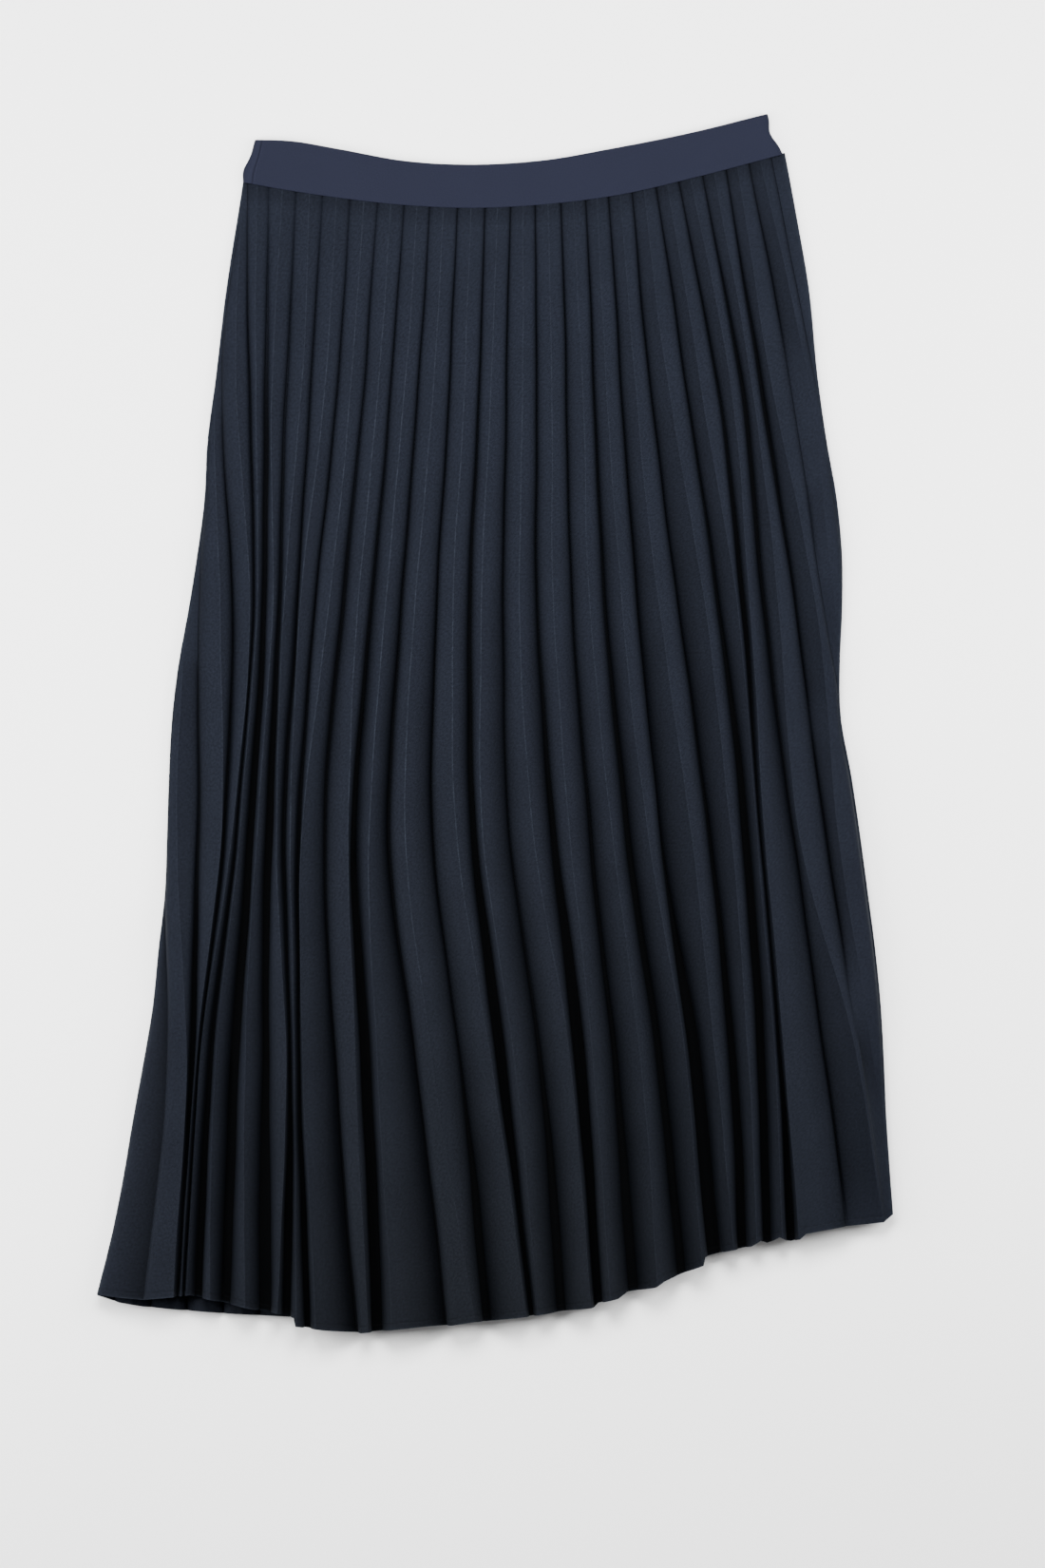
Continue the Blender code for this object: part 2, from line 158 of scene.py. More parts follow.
# Middle of each fold's bottom, left to right: x at seam, hip, thigh, knee, calf, hem
VALLEYS = np.array([
    (-192.3, -212.3, -223.7, -234.3, -232.3, -247.7),
    (-185.7, -201.0, -210.3, -210.3, -214.7, -225.3),
    (-182.3, -194.3, -186.5, -192.0, -210.2, -219.8),
    (-176.3, -174.7, -171.7, -183.3, -202.0, -209.7),
    (-161.0, -162.7, -163.7, -174.0, -184.3, -191.0),
    (-141.7, -148.0, -153.3, -161.0, -162.7, -164.0),
    (-123.0, -131.3, -140.0, -150.3, -145.3, -148.3),
    (-103.7, -112.3, -127.7, -139.7, -139.0, -133.5),
    (-84.3, -93.7, -109.0, -121.3, -114.0, -98.5),
    (-65.7, -74.3, -89.3, -100.7, -93.0, -84.0),
    (-47.7, -55.0, -67.7, -76.3, -57.0, -36.0),
    (-28.3, -33.3, -43.0, -45.0, -26.3, -7.3),
    (-9.0, -13.0, -19.0, -17.0, 3.0, 23.8),
    (9.0, 6.3, 3.7, 9.0, 30.0, 45.5),
    (26.3, 27.0, 28.3, 39.0, 58.3, 70.6),
    (44.3, 48.3, 52.3, 65.0, 82.7, 94.3),
    (61.7, 67.7, 75.3, 91.3, 114.0, 128.3),
    (77.7, 86.7, 98.0, 114.3, 139.0, 151.0),
    (94.3, 106.7, 126.3, 149.0, 165.0, 171.7),
    (111.0, 132.0, 155.0, 174.3, 185.3, 188.3),
    (127.0, 153.7, 172.3, 185.0, 198.3, 206.0),
    (143.7, 170.7, 187.0, 208.3, 229.7, 245.0),
    (160.3, 184.0, 209.0, 230.3, 255.0, 273.7),
    (176.3, 205.0, 229.7, 257.0, 274.3, 281.0),
    (192.3, 223.0, 246.3, 263.0, 281.0, 284.3),
])

# Width of the dark gap at each of those bottoms, at the same levels
GAPS = np.array([
    (0.0, 0.0, 0.0, 0.0, 0.0, 0.0),
    (0.0, 0.0, 0.3, 2.2, 4.7, 1.5),
    (0.0, 0.3, 0.3, 2.0, 0.2, 0.7),
    (0.0, 0.8, 0.4, 0.7, 3.4, 6.7),
    (0.0, 3.4, 4.0, 6.0, 8.0, 8.7),
    (0.0, 1.4, 2.0, 6.6, 6.0, 11.4),
    (0.0, 0.3, 0.3, 2.7, 2.0, 7.4),
    (0.0, 0.3, 0.3, 2.7, 1.4, 5.3),
    (0.0, 0.3, 2.6, 2.0, 1.0, 2.0),
    (0.0, 0.3, 2.0, 4.7, 9.4, 10.0),
    (0.0, 0.3, 1.3, 2.7, 1.0, 1.5),
    (0.0, 0.3, 0.5, 1.0, 1.3, 7.3),
    (0.0, 0.8, 2.6, 5.4, 9.4, 4.0),
    (0.0, 0.3, 0.5, 0.8, 3.4, 8.0),
    (0.0, 0.3, 1.3, 5.4, 10.7, 7.3),
    (0.0, 0.3, 0.5, 2.6, 4.7, 8.7),
    (0.0, 0.8, 2.0, 4.7, 6.0, 7.3),
    (0.0, 0.3, 0.6, 0.5, 11.0, 12.0),
    (0.0, 0.3, 0.3, 2.6, 6.6, 8.0),
    (0.0, 0.3, 2.6, 6.7, 7.3, 7.4),
    (0.0, 1.4, 4.0, 0.5, 2.7, 7.5),
    (0.0, 3.0, 2.6, 0.5, 0.7, 1.0),
    (0.0, 3.0, 0.5, 0.5, 0.0, 0.0),
    (0.0, 0.0, 0.0, 0.0, 0.0, 0.0),
    (0.0, 0.0, 0.0, 0.0, 0.0, 0.0),
])

# How softly the cloth rounds down into each of those bottoms, 0 crisp to 1 soft:
# from the left at the middle and at the calf, then from the right at both
ROUNDING = np.array([
    (0.4, 0.4, 0.0, 0.0),
    (0.1, 0.0, 0.2, 0.0),
    (0.3, 0.0, 0.5, 0.1),
    (0.1, 0.8, 0.1, 0.0),
    (0.3, 1.0, 0.0, 0.5),
    (0.3, 0.7, 0.0, 0.4),
    (0.6, 0.1, 0.1, 0.1),
    (0.4, 0.0, 0.0, 0.1),
    (0.4, 1.0, 0.6, 0.0),
    (0.1, 0.0, 1.0, 0.6),
    (0.9, 1.0, 0.3, 0.0),
    (0.8, 0.6, 0.0, 0.9),
    (0.7, 0.0, 0.4, 0.3),
    (0.9, 1.0, 0.5, 0.8),
    (0.9, 0.3, 0.5, 0.0),
    (0.7, 0.8, 0.6, 1.0),
    (0.5, 0.8, 0.9, 0.9),
    (0.2, 0.0, 1.0, 0.5),
    (0.3, 0.6, 0.9, 0.3),
    (0.5, 0.4, 0.7, 0.3),
    (0.1, 0.0, 0.0, 0.0),
    (1.0, 0.3, 0.1, 0.4),
    (0.3, 0.6, 0.4, 0.6),
    (0.0, 0.0, 0.0, 0.0),
    (0.0, 0.0, 0.0, 0.0),
])
# The same at the hip, from the left and from the right of every fold; the
# distances below the middle of the skirt that the three stand for; and the
# outermost faces' own
WAIST_ROUNDING = (0.15, 0.4)
ROUNDING_LEVELS = (-250.0, 0.0, 300.0)
SIDE_ROUNDING = 0.6

# Top of the fold that follows each one above, at the same levels
RIDGES = np.array([
    (-189.0, -206.3, -218.3, -225.5, -218.5, -227.0),
    (-183.7, -197.7, -195.0, -194.3, -211.4, -222.5),
    (-179.3, -183.7, -174.3, -186.0, -209.0, -218.0),
    (-169.0, -170.3, -169.0, -181.0, -198.3, -201.5),
    (-151.3, -158.3, -158.0, -169.3, -177.0, -178.0),
    (-132.3, -137.0, -150.3, -155.3, -148.0, -155.0),
    (-113.3, -121.0, -138.3, -145.7, -142.0, -141.0),
    (-94.0, -102.3, -119.0, -137.0, -137.0, -127.0),
    (-75.0, -83.7, -97.7, -105.0, -99.7, -90.5),
    (-56.7, -64.3, -79.0, -90.3, -84.3, -74.3),
    (-38.0, -45.0, -57.7, -65.0, -45.7, -15.7),
    (-18.7, -22.7, -31.7, -28.3, -4.3, 20.6),
    (0.0, -4.7, -11.0, -10.7, 12.5, 28.5),
    (17.7, 17.3, 15.7, 25.0, 51.3, 65.8),
    (35.3, 37.7, 39.7, 50.3, 67.5, 79.0),
    (53.0, 59.7, 64.3, 81.0, 100.3, 112.3),
    (69.7, 75.7, 87.7, 105.7, 132.0, 143.7),
    (86.0, 96.3, 113.7, 135.7, 153.7, 165.7),
    (102.7, 119.0, 145.7, 164.3, 175.7, 182.3),
    (119.0, 142.3, 168.3, 181.7, 195.0, 199.5),
    (135.3, 163.0, 177.5, 187.0, 201.7, 211.5),
    (152.0, 177.7, 197.7, 211.5, 253.0, 271.0),
    (168.3, 192.3, 223.5, 239.5, 264.3, 277.7),
    (184.3, 217.7, 237.7, 260.0, 277.7, 283.0),
])

# Folds whose bottom is only a shallow crease: which, its depth at hip, knee, calf and hem
SHALLOW = np.array([
    (0, 0.3, 0.3, 0.35, 0.3),
    (21, 1.0, 0.8, 0.8, 0.7),
    (22, 1.0, 0.8, 0.05, 0.05),
    (23, 0.7, 0.3, 0.05, 0.05),
    (24, 0.5, 0.3, 0.05, 0.05),
])


def curve(stations, values, at):
    """Smooth curve through values at rising stations, held level beyond them.

    Each span is the cubic that meets both ends at the stations' mean slopes.
    """
    s = np.asarray(stations, float)
    v = np.asarray(values, float)
    slope = np.gradient(v, s)
    at = np.asarray(at, float)
    i = np.clip(np.searchsorted(s, at) - 1, 0, len(s) - 2)
    span = s[i + 1] - s[i]
    t = np.clip((at - s[i]) / span, 0.0, 1.0)
    rise = v[i + 1] - v[i]
    a = slope[i] * span
    b = slope[i + 1] * span
    return v[i] + a * t + (3 * rise - 2 * a - b) * t ** 2 + (a + b - 2 * rise) * t ** 3


def seam_y(x):
    """Seam between the elastic and the pleats."""
    return curve(BAND[:, 0], BAND[:, 1], x)


def side_x(y, which):
    """Side of the skirt: which is 1 for the left, 2 for the right."""
    return curve(-SIDES[:, 0], SIDES[:, which], -np.asarray(y, float))


def hem_y(x, hem):
    """Straight between the hem's points."""
    return np.interp(x, hem[:, 0], hem[:, 1])


def ease(t):
    """Smooth step: three t squared less two t cubed."""
    t = np.clip(t, 0.0, 1.0)
    return t * t * (3.0 - 2.0 * t)


def run_down(y):
    """0 at the waist seam, 1 at the hem."""
    return np.clip((WAIST_MID - y) / (WAIST_MID - HEM_MID), 0.0, 1.0)


def below_seam(x, y):
    """How far below the seam a spot is."""
    return seam_y(np.clip(x, WAIST_LEFT, SEAM_RIGHT)) - y


def fold_height(below, y, stitched, free, hem):
    """Height of folds: low at the seam, eased up clear of it, then growing to the hem."""
    opened = ease(below / RELEASE)
    return (stitched + (free - stitched) * opened) * (1 - run_down(y)) + hem * run_down(y)


def under_height(below, y):
    """Height of the back's folds."""
    return fold_height(below, y, UNDER_STITCHED, UNDER_FREE, UNDER_HEM)


def lie(below, y):
    """Height of the front's valleys, just clear of the folds under them."""
    return CLOTH_SOLID / 2 + under_height(below, y) + CLOTH_SOLID + GAP


def sway(phase, y, reach):
    """Sum of three slow sines down the skirt, its own for each fold."""
    total = sum(share * np.sin(y / long + turns * phase) for long, turns, share in SWAY_WAVES)
    return reach * total / sum(share for _, _, share in SWAY_WAVES)


# Power that draws the rows a little towards the hem, then the last rows'
# distances up from the hem
ROW_POWER = 0.95
HEM_ROWS = np.array([8.0, 6.6, 5.6, 5.1, 4.7, 4.3, 3.9, 3.2, 2.2, 1.2, 0.5, 0.0])


def row_y(top, low, rows):
    """Grid of y: rows spaced as a power of t from top to hem turn, then the hem's own rows."""
    t = np.linspace(0.0, 1.0, rows) ** ROW_POWER
    turn = low + HEM_ROWS[0]
    body = top[:, None] + (turn - top)[:, None] * t
    return np.hstack([body[:, :-1], low[:, None] + HEM_ROWS])


def front_folds(rows):
    """Knots of the front's zigzag for each row, and what its faces need at each.

    A knot's x is its fold's curve down the skirt, kept inside the two sides
    and a small step past its neighbour; its height is the valley level, plus
    for a ridge the height that its two faces allow. It gives back x, y, z,
    how much of a ridge each is, the width of its dark gap, how far the folds
    are open there, and how soft the face on each side of it is.
    """
    folds = np.empty((2 * len(VALLEYS) - 1, 6))
    folds[0::2] = VALLEYS
    folds[1::2] = RIDGES
    count = len(folds) + 2
    start = np.concatenate([[WAIST_LEFT], folds[:, 0], [WAIST_RIGHT]])
    end = np.concatenate([[HEM_LEFT], folds[:, 5], [HEM_RIGHT]])
    start = np.clip(start, WAIST_LEFT, WAIST_RIGHT)
    end = np.clip(end, HEM_LEFT, HEM_RIGHT)
    top = seam_y(start) + TUCK
    low = hem_y(end, FRONT_HEM)
    ys = row_y(top, low, rows)
    left = side_x(ys, 1)
    right = side_x(ys, 2)
    xs = np.empty_like(ys)
    xs[0] = left[0]
    xs[-1] = right[-1]
    phases = np.random.default_rng(SWAY_SEED).uniform(0.0, 2 * np.pi, count)
    for k, fold in enumerate(folds, start=1):
        levels = [-top[k], -HIP, -THIGH, -KNEE, -CALF, -low[k]]
        swayed = sway(phases[k], ys[k], SWAY_SIDEWAYS) * ease((top[k] - ys[k]) / RELEASE)
        xs[k] = curve(levels, fold, -ys[k]) + swayed
    fade = ease((xs - left) / FADE) * ease((right - xs) / FADE)
    fade[[0, -1]] = 0.0
    rank = SIDE_STEP * np.arange(count)[:, None]
    xs = np.clip(xs, left + rank, right - rank[::-1])
    need = np.maximum(SIDE_STEP, STEP * np.minimum(fade, np.roll(fade, 1, axis=0)))
    for k in range(1, count):
        xs[k] = np.maximum(xs[k], xs[k - 1] + need[k])
    for k in range(count - 2, -1, -1):
        xs[k] = np.minimum(xs[k], xs[k + 1] - need[k + 1])
    below = below_seam(xs, ys)
    spread = np.full_like(xs, SPREAD_SIDE)
    spread[1:-1] = np.minimum(0.5 * (xs[2:] - xs[:-2]), SPREAD_MOST)
    face = FACE_WAIST + (FACE_HEM - FACE_WAIST) * run_down(ys)
    free = np.sqrt(np.maximum(face ** 2 - spread ** 2, LEAST_HEIGHT_SQUARED))
    limit = fold_height(below, ys, STITCHED_DEPTH, FREE_DEPTH, HEM_DEPTH)
    high = (free ** -BLEND + limit ** -BLEND) ** (-1.0 / BLEND)
    high = high * (1.0 + sway(phases[::-1, None], ys, SWAY_UPWARD))
    share = np.zeros_like(xs)
    share[2:-2:2] = 1.0
    for fold, *depths in SHALLOW:
        k = 1 + 2 * int(fold)
        share[k] = 1.0 - np.interp(-ys[k], [-HIP, -KNEE, -CALF, -HEM_MID], depths)
    zs = lie(below, ys) + share * fade ** FADE_POWER * high
    share = share * ease((xs - left - LEFT_CLEAR) / LEFT_FADE) * ease((right - xs) / FADE)
    gaps = np.zeros_like(xs)
    last_levels = [-top[-2], -HIP, -THIGH, -KNEE, -CALF, -low[-2]]
    for k, widths in enumerate(GAPS):
        gaps[1 + 2 * k] = curve(last_levels, widths, -ys[1 + 2 * k])
    gaps = gaps * fade * ease(below / GAP_OPENS)
    rightward = ease((xs - RIGHT_FROM) / RIGHT_OVER)
    opens_over = GAP_OPENS + OPEN_LATER * (1.0 - rightward)
    open_share = ease((below + OPEN_SOONER * rightward) / opens_over)
    soft = np.zeros((2, *xs.shape))
    for k, row in enumerate(ROUNDING):
        for side in (0, 1):
            values = (WAIST_ROUNDING[side], *row[2 * side:2 * side + 2])
            soft[side, 1 + 2 * k] = np.interp(-ys[1 + 2 * k], ROUNDING_LEVELS, values)
    soft[:, [0, -1]] = SIDE_ROUNDING
    return xs, ys, zs, share, gaps, open_share, soft


# A face is level across a share of its dark gap, up to a share of its width
GAP_LEVEL, GAP_MOST = 0.36, 0.6
LEAST_WIDE = 0.001
# Columns across the rest: distances out from the gap's edge, up to a share of
# the face, then shares of what is left, then one just short of the crest
EDGE_STEPS = np.array([0.0, 0.25, 0.6, 1.1, 1.9])
EDGE_MOST = 0.4
MID_STEPS = np.array([0.1, 0.22, 0.36, 0.52, 0.7, 0.86])
CREST_WIDE, CREST_FROM = 0.6, 0.9
# A crisp face stands straight up from its gap, and a soft one rounds over:
# the share of its height that it gains evenly, and the rounding's power
CRISP_TILT, SOFT_TILT = 0.10, 0.38
CRISP_BEND = 0.9
SOFT_POWER = 2.6
# Shade of a face: how far up from the gap it reaches where crisp and where
# soft, its power, and its strength at the seam and where the folds are open
REACH_CRISP, REACH_SOFT = 0.45, 0.86
SHADE_POWER = 1.25
SLOPE_AT_SEAM, SLOPE_OPEN = 0.12, 0.72
# Painted dark line at the foot of a face: for a closed gap at the seam's left, at its
# right and lower down, where across the seam the first turns to the second,
# the line's width, and the gap from which it's fully dark
FOOT_SEAM_LEFT, FOOT_SEAM_RIGHT, FOOT_CLOSED = 0.12, 0.88, 0.72
FOOT_FROM, FOOT_OVER = -140.0, 165.0
FOOT_WIDE = 0.6
GAP_DARK = 2.0
# The first line at the left is painted darker than its neighbours: where, over what, how much
FIRST_AT, FIRST_OVER, FIRST_DARK = -177.0, 12.0, 0.75
# A face is painted dimmer where it turns away from the nearer side light: left on the right
# side, or right on the left side: how much, from where, over what; and the share of that at the
# seam
DIM_RIGHT, DIM_RIGHT_FROM, DIM_RIGHT_OVER = 0.34, 10.0, 140.0
DIM_LEFT, DIM_LEFT_FROM, DIM_LEFT_OVER = 0.2, -20.0, 150.0
DIM_AT_SEAM = 0.4
# How dark the painted shade of the outermost face at the left is where it meets the first crease
FIRST_FACE_DARK = 0.6
# Share of a full step from which a face's painted shade is full, and the least ridge for it
STEP_DARK, RIDGE_DARK = 0.55, 0.7


def face_columns(wide, gap):
    """Distances from the low crease, for a face of the given width and half gap at each row."""
    most = np.linspace(0.0, EDGE_MOST, len(EDGE_STEPS))
    near = gap + np.minimum(EDGE_STEPS[:, None], (wide - gap) * most[:, None])
    last = np.maximum(wide - CREST_WIDE, gap + CREST_FROM * (wide - gap))
    mid = near[-1] + (last - near[-1]) * MID_STEPS[:, None]
    return np.vstack([np.zeros_like(wide)[None], near, mid, last])


def fold_shade(off, u, x, rising, soft, gap, open_share):
    """How dark a face is, 0 to 1, as light reaches less of it towards its low crease.

    A soft face darkens from part of the way down, as a power of the share
    left; a crisp one only at its foot, as e to the power -distance. Both end
    in a thin dark line. A wide gap is darker than a closed one. A whole face
    is a little dimmer where it turns from the nearer side of the skirt and
    its light. All of this is shade painted into the cloth's colour.
    """
    at_seam = ease((x - FOOT_FROM) / FOOT_OVER)
    at_seam = FOOT_SEAM_LEFT + (FOOT_SEAM_RIGHT - FOOT_SEAM_LEFT) * at_seam
    at_seam = np.maximum(at_seam, FIRST_DARK * (1.0 - ease((x - FIRST_AT) / FIRST_OVER)))
    closed = at_seam + (FOOT_CLOSED - at_seam) * open_share
    foot = closed + (1.0 - closed) * ease(gap / GAP_DARK)
    reach = REACH_CRISP + (REACH_SOFT - REACH_CRISP) * soft
    slope = np.clip(1.0 - u / reach, 0.0, 1.0) ** SHADE_POWER
    slope = slope * np.sqrt(soft) * (SLOPE_AT_SEAM + (SLOPE_OPEN - SLOPE_AT_SEAM) * open_share)
    line = foot * np.exp(-off / FOOT_WIDE)
    if rising:
        turned = DIM_RIGHT * ease((x - DIM_RIGHT_FROM) / DIM_RIGHT_OVER)
    else:
        turned = DIM_LEFT * ease((DIM_LEFT_FROM - x) / DIM_LEFT_OVER)
    turned = turned * (DIM_AT_SEAM + (1.0 - DIM_AT_SEAM) * open_share)
    return 1.0 - (1.0 - slope) * (1.0 - line) * (1.0 - turned)


def bowed_faces(xs, ys, zs, weight, gaps, open_share, rounding):
    """Fill the zigzag's faces with columns, level across the gap and then bowed up to the crest.

    With u the share of the way from the gap's edge to the crest, the height
    goes as a mix of u, of one less a power of one less u where the face is
    soft, and of one less e to the power -distance over a bend where it's crisp.
    """
    px, py, pz, crest, painted_shade = [], [], [], [], []
    for k in range(len(xs) - 1):
        rising = zs[k].mean() < zs[k + 1].mean()
        low, top = (k, k + 1) if rising else (k + 1, k)
        wide = np.maximum(np.abs(xs[k + 1] - xs[k]), LEAST_WIDE)
        gap = np.minimum(GAP_LEVEL * gaps[low], GAP_MOST * wide)
        reach = face_columns(wide, gap)
        off = np.maximum(reach - gap, 0.0)
        u = off / (wide - gap)
        soft = rounding[1 if rising else 0, low]
        tilt = CRISP_TILT + (SOFT_TILT - CRISP_TILT) * soft
        crisp_bow = 1.0 - np.exp(-off / CRISP_BEND)
        crisp_bow = crisp_bow / (1.0 - np.exp(-(wide - gap) / CRISP_BEND))
        soft_bow = 1.0 - (1.0 - u) ** SOFT_POWER
        bow = tilt * u + (1.0 - tilt) * (crisp_bow + (soft_bow - crisp_bow) * soft)
        x = xs[low] + (xs[top] - xs[low]) * reach / wide
        y = ys[low] + (ys[top] - ys[low]) * reach / wide
        z = zs[low] + (zs[top] - zs[low]) * bow
        line = np.clip(1.0 - (wide - reach) / CREST_WIDE, 0.0, 1.0) * weight[top]
        step = ease(np.abs(weight[top] - weight[low]) / STEP_DARK) * ease(weight[top] / RIDGE_DARK)
        # Painted shade on the face, darkest towards its low crease
        painted_fold_shade = fold_shade(off, u, xs[low], rising, soft, gap, open_share[low]) * step
        if k in (0, len(xs) - 2):
            painted_fold_shade = 0.0 * painted_fold_shade
        # The outermost left face instead gets painted shade that grows towards the first crease
        if k == 0 and rising:
            painted_fold_shade = FIRST_FACE_DARK * u * open_share[low]
        if not rising:
            top_spot = (xs[top], ys[top], zs[top], weight[top], 0.0 * wide)
            x, y, z, line, painted_fold_shade = (np.vstack([spot[None], part[:0:-1]])
                                   for spot, part in zip(top_spot, (x, y, z, line, painted_fold_shade)))
        for part, rows in ((px, x), (py, y), (pz, z), (crest, line), (painted_shade, painted_fold_shade)):
            part.append(rows)
    px.append(xs[-1:])
    py.append(ys[-1:])
    pz.append(zs[-1:])
    crest.append(np.zeros_like(xs[-1:]))
    painted_shade.append(np.zeros_like(xs[-1:]))
    return [np.vstack(a) for a in (px, py, pz, crest, painted_shade)]


# How far up from the hem a column is moved to meet the hem line
HEM_FOLLOW = 22.0
# Waves left by handling: length across, length down, phase, share; and their height
HANDLED_WAVES = ((17.0, 31.0, 0.0, 1.0), (-29.0, 19.0, 1.7, 1.0), (8.3, -13.0, 0.6, 0.7))
HANDLED_HIGH = 0.13
# Ripples of the gathers below the seam: turns per millimetre across, phase,
# share; what brings their sum into 0 to 1; then their depth, length and painted shade
GATHER_WAVES = ((1.31, 0.0, 1.0), (2.17, 1.0, 0.7), (0.53, 0.0, 0.5))
GATHER_MOST = 4.4
GATHER_DEEP, GATHER_LONG, GATHER_DARK = 0.4, 3.5, 0.35
# Hem: rise of the turned layer, where it ends and over what; then its stitch
# line: how far up, how deep and wide it's sunk, and how dark and wide it looks
TURN_HIGH, TURN_UP, TURN_EDGE = 0.35, 4.4, 1.0
STITCH_UP, STITCH_DEEP, STITCH_GROOVE = 4.6, 0.3, 0.45
STITCH_DARK, STITCH_WIDE = 0.3, 0.5


def follow_hem(x, y, hem):
    """Move each column's last rows so that its end lies on the hem line."""
    off = hem_y(x[:, -1:], hem) - y[:, -1:]
    return y + off * np.exp(-(y - y[:, -1:]) / HEM_FOLLOW)


def handled(x, y):
    """Slight unevenness left by handling: sum of crossed sine waves, tens of millimetres long."""
    waves = (share * np.sin(x / across + y / down + phase)
             for across, down, phase, share in HANDLED_WAVES)
    return HANDLED_HIGH * sum(waves)


def gathers(x, y):
    """Small gathers just below the seam, 0 to 1.

    They are a sum of sines across the cloth that dies away down it, as e to
    the power -distance over their length.
    """
    ripple = sum(share * np.sin(x * turns + phase) for turns, phase, share in GATHER_WAVES)
    below = np.maximum(below_seam(x, y), 0.0)
    return (0.5 + ripple / GATHER_MOST) * np.exp(-below / GATHER_LONG)


def turned_hem(up):
    """Rise of the hem turn: it stands up by the turned layer, with the stitch line sunk in."""
    turn = TURN_HIGH * (1.0 - ease((up - TURN_UP) / TURN_EDGE))
    groove = STITCH_DEEP * np.exp(-((up - STITCH_UP) / STITCH_GROOVE) ** 2)
    return turn - groove


# How much of the painted shade towards the hem, darker and greyer, is missing at the left and right
# ends
DOWN_LESS = 0.75
# Corners sharper than this are shaded as edges, in degrees
SHARP = 75


def in_scene(name, data):
    """New object in the scene, at the origin."""
    thing = bpy.data.objects.new(name, data)
    bpy.context.scene.collection.objects.link(thing)
    return thing


def cloth_mesh(name, points, quads, flat):
    """Smooth mesh from points in mm, with a UV spot in mm for each point."""
    mesh = bpy.data.meshes.new(name)
    mesh.from_pydata(((points - np.array(MIDDLE)) * MM).tolist(), [], quads.tolist())
    corner = np.empty(len(mesh.loops), dtype=np.int32)
    mesh.loops.foreach_get("vertex_index", corner)
    mesh.uv_layers.new(name="cloth").data.foreach_set("uv", (flat * MM)[corner].ravel())
    mesh.shade_smooth()
    return mesh


def cloth_wall(name, x, y, z, thick, marks):
    """Closed wall: the grid is its outer face, and the inner face lies thick below it.

    marks are attributes for the material: each has a grid for the outer face
    and one for the inner face. The UV map is metres along the cloth: across
    it at each row, as the sum of the steps from column to column, and down it.
    """
    upper = np.stack([x, y, z], axis=-1).reshape(-1, 3)
    lower = np.stack([x, y, z - thick], axis=-1).reshape(-1, 3)
    n, m = x.shape
    index = np.arange(n * m).reshape(n, m)
    a, b, c, d = index[:-1, :-1], index[:-1, 1:], index[1:, 1:], index[1:, :-1]
    top = np.stack([a, b, c, d], axis=-1).reshape(-1, 4)
    bottom = np.stack([a, d, c, b], axis=-1).reshape(-1, 4) + n * m
    loop = np.concatenate([index[0, :-1], index[:-1, -1], index[-1, :0:-1], index[:0:-1, 0]])
    ahead = np.roll(loop, -1)
    rim = np.stack([ahead, loop, loop + n * m, ahead + n * m], axis=-1)
    step = np.hypot(np.diff(x, axis=0), np.diff(z, axis=0))
    across = np.vstack([np.zeros((1, m)), np.cumsum(step, axis=0)])
    flat = np.stack([across, y], axis=-1).reshape(-1, 2)
    quads = np.concatenate([top, bottom, rim])
    mesh = cloth_mesh(name, np.vstack([upper, lower]), quads, np.vstack([flat, flat]))
    # Painted shade, darker and greyer towards the hem as the light falls off there, less so at the
    # two ends
    down = run_down(y) ** 2 * (1.0 - DOWN_LESS * (x / HEM_LEFT) ** 2)
    marks = {**marks, "down": (down, down)}
    for mark, (outer, inner) in marks.items():
        both = np.concatenate([outer.ravel(), inner.ravel()]).astype(np.float32)
        mesh.attributes.new(mark, "FLOAT", "POINT").data.foreach_set("value", both)
    mesh.set_sharp_from_angle(angle=np.radians(SHARP))
    return in_scene(name, mesh)


def thread_grain():
    """Shader group: fine woven grain and a slow unevenness, from the cloth's UV map."""
    group = bpy.data.node_groups.new("thread grain", "ShaderNodeTree")
    face = group.interface
    for label, value in (("Threads", 1100.0), ("Uneven", 0.3)):
        socket = face.new_socket(name=label, in_out="INPUT", socket_type="NodeSocketFloat")
        socket.default_value = value
    face.new_socket(name="Shade", in_out="OUTPUT", socket_type="NodeSocketFloat")
    face.new_socket(name="Height", in_out="OUTPUT", socket_type="NodeSocketFloat")
    node = group.nodes.new
    link = group.links.new
    inlet = node("NodeGroupInput")
    outlet = node("NodeGroupOutput")
    uv = node("ShaderNodeUVMap")
    uv.uv_map = "cloth"
    fine = node("ShaderNodeTexNoise")
    fine.inputs["Detail"].default_value = 2.0
    link(uv.outputs["UV"], fine.inputs["Vector"])
    link(inlet.outputs["Threads"], fine.inputs["Scale"])
    slow = node("ShaderNodeTexNoise")
    slow.inputs["Scale"].default_value = 22.0
    slow.inputs["Detail"].default_value = 4.0
    link(uv.outputs["UV"], slow.inputs["Vector"])
    centred = node("ShaderNodeMath")
    centred.operation = "SUBTRACT"
    link(slow.outputs["Fac"], centred.inputs[0])
    centred.inputs[1].default_value = 0.5
    sized = node("ShaderNodeMath")
    sized.operation = "MULTIPLY_ADD"
    link(centred.outputs[0], sized.inputs[0])
    link(inlet.outputs["Uneven"], sized.inputs[1])
    sized.inputs[2].default_value = 1.0
    speck = node("ShaderNodeMapRange")
    speck.inputs["From Min"].default_value = 0.3
    speck.inputs["From Max"].default_value = 0.7
    speck.inputs["To Min"].default_value = 0.78
    speck.inputs["To Max"].default_value = 1.22
    link(fine.outputs["Fac"], speck.inputs["Value"])
    both = node("ShaderNodeMath")
    both.operation = "MULTIPLY"
    link(sized.outputs[0], both.inputs[0])
    link(speck.outputs["Result"], both.inputs[1])
    link(both.outputs[0], outlet.inputs["Shade"])
    link(fine.outputs["Fac"], outlet.inputs["Height"])
    return group


GRAIN = thread_grain()
